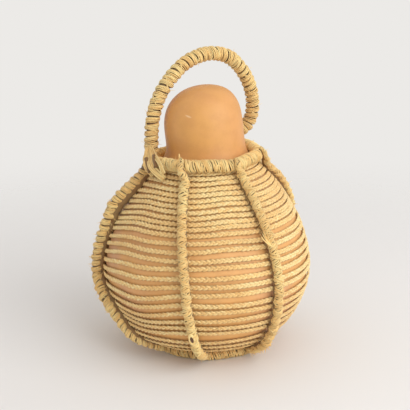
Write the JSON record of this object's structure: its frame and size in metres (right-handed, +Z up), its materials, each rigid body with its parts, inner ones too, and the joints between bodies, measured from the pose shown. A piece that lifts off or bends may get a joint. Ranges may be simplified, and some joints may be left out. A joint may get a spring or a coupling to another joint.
{
  "type": "dried bottle gourd",
  "caption": "Dried bottle gourd with a wide belly and a domed neck, held in a basket of plaited straw hoops and wrapped ribs with an arched handle.",
  "frame": {"origin": "on the ground, under the middle of the whole", "axes": "+Z up along the gourd's own axis, -Y towards the viewer of the picture, +X to the right"},
  "size_m": [0.3004, 0.3086, 0.4079],
  "materials": {
    "gourd_skin": "satin, lightly waxed dried rind",
    "straw": "matte plaited straw"
  },
  "bodies": {
    "root": {"base_ring": "straw", "course_01": "straw", "course_02": "straw", "course_03": "straw", "course_04": "straw", "course_05": "straw", "course_06": "straw", "course_07": "straw", "course_08": "straw", "course_09": "straw", "course_10": "straw", "course_11": "straw", "course_12": "straw", "course_13": "straw", "course_14": "straw", "course_15": "straw", "course_16": "straw", "course_17": "straw", "course_18": "straw", "course_19": "straw", "course_20": "straw", "course_21": "straw", "course_22": "straw", "course_23": "straw", "course_24": "straw", "course_25": "straw", "course_26": "straw", "gourd": "gourd_skin", "handle": "straw", "neck_ring": "straw", "rib_back_left": "straw", "rib_back_right": "straw", "rib_front_left": "straw", "rib_front_right": "straw", "rib_left": "straw", "rib_right": "straw"}
  },
  "joints": []
}
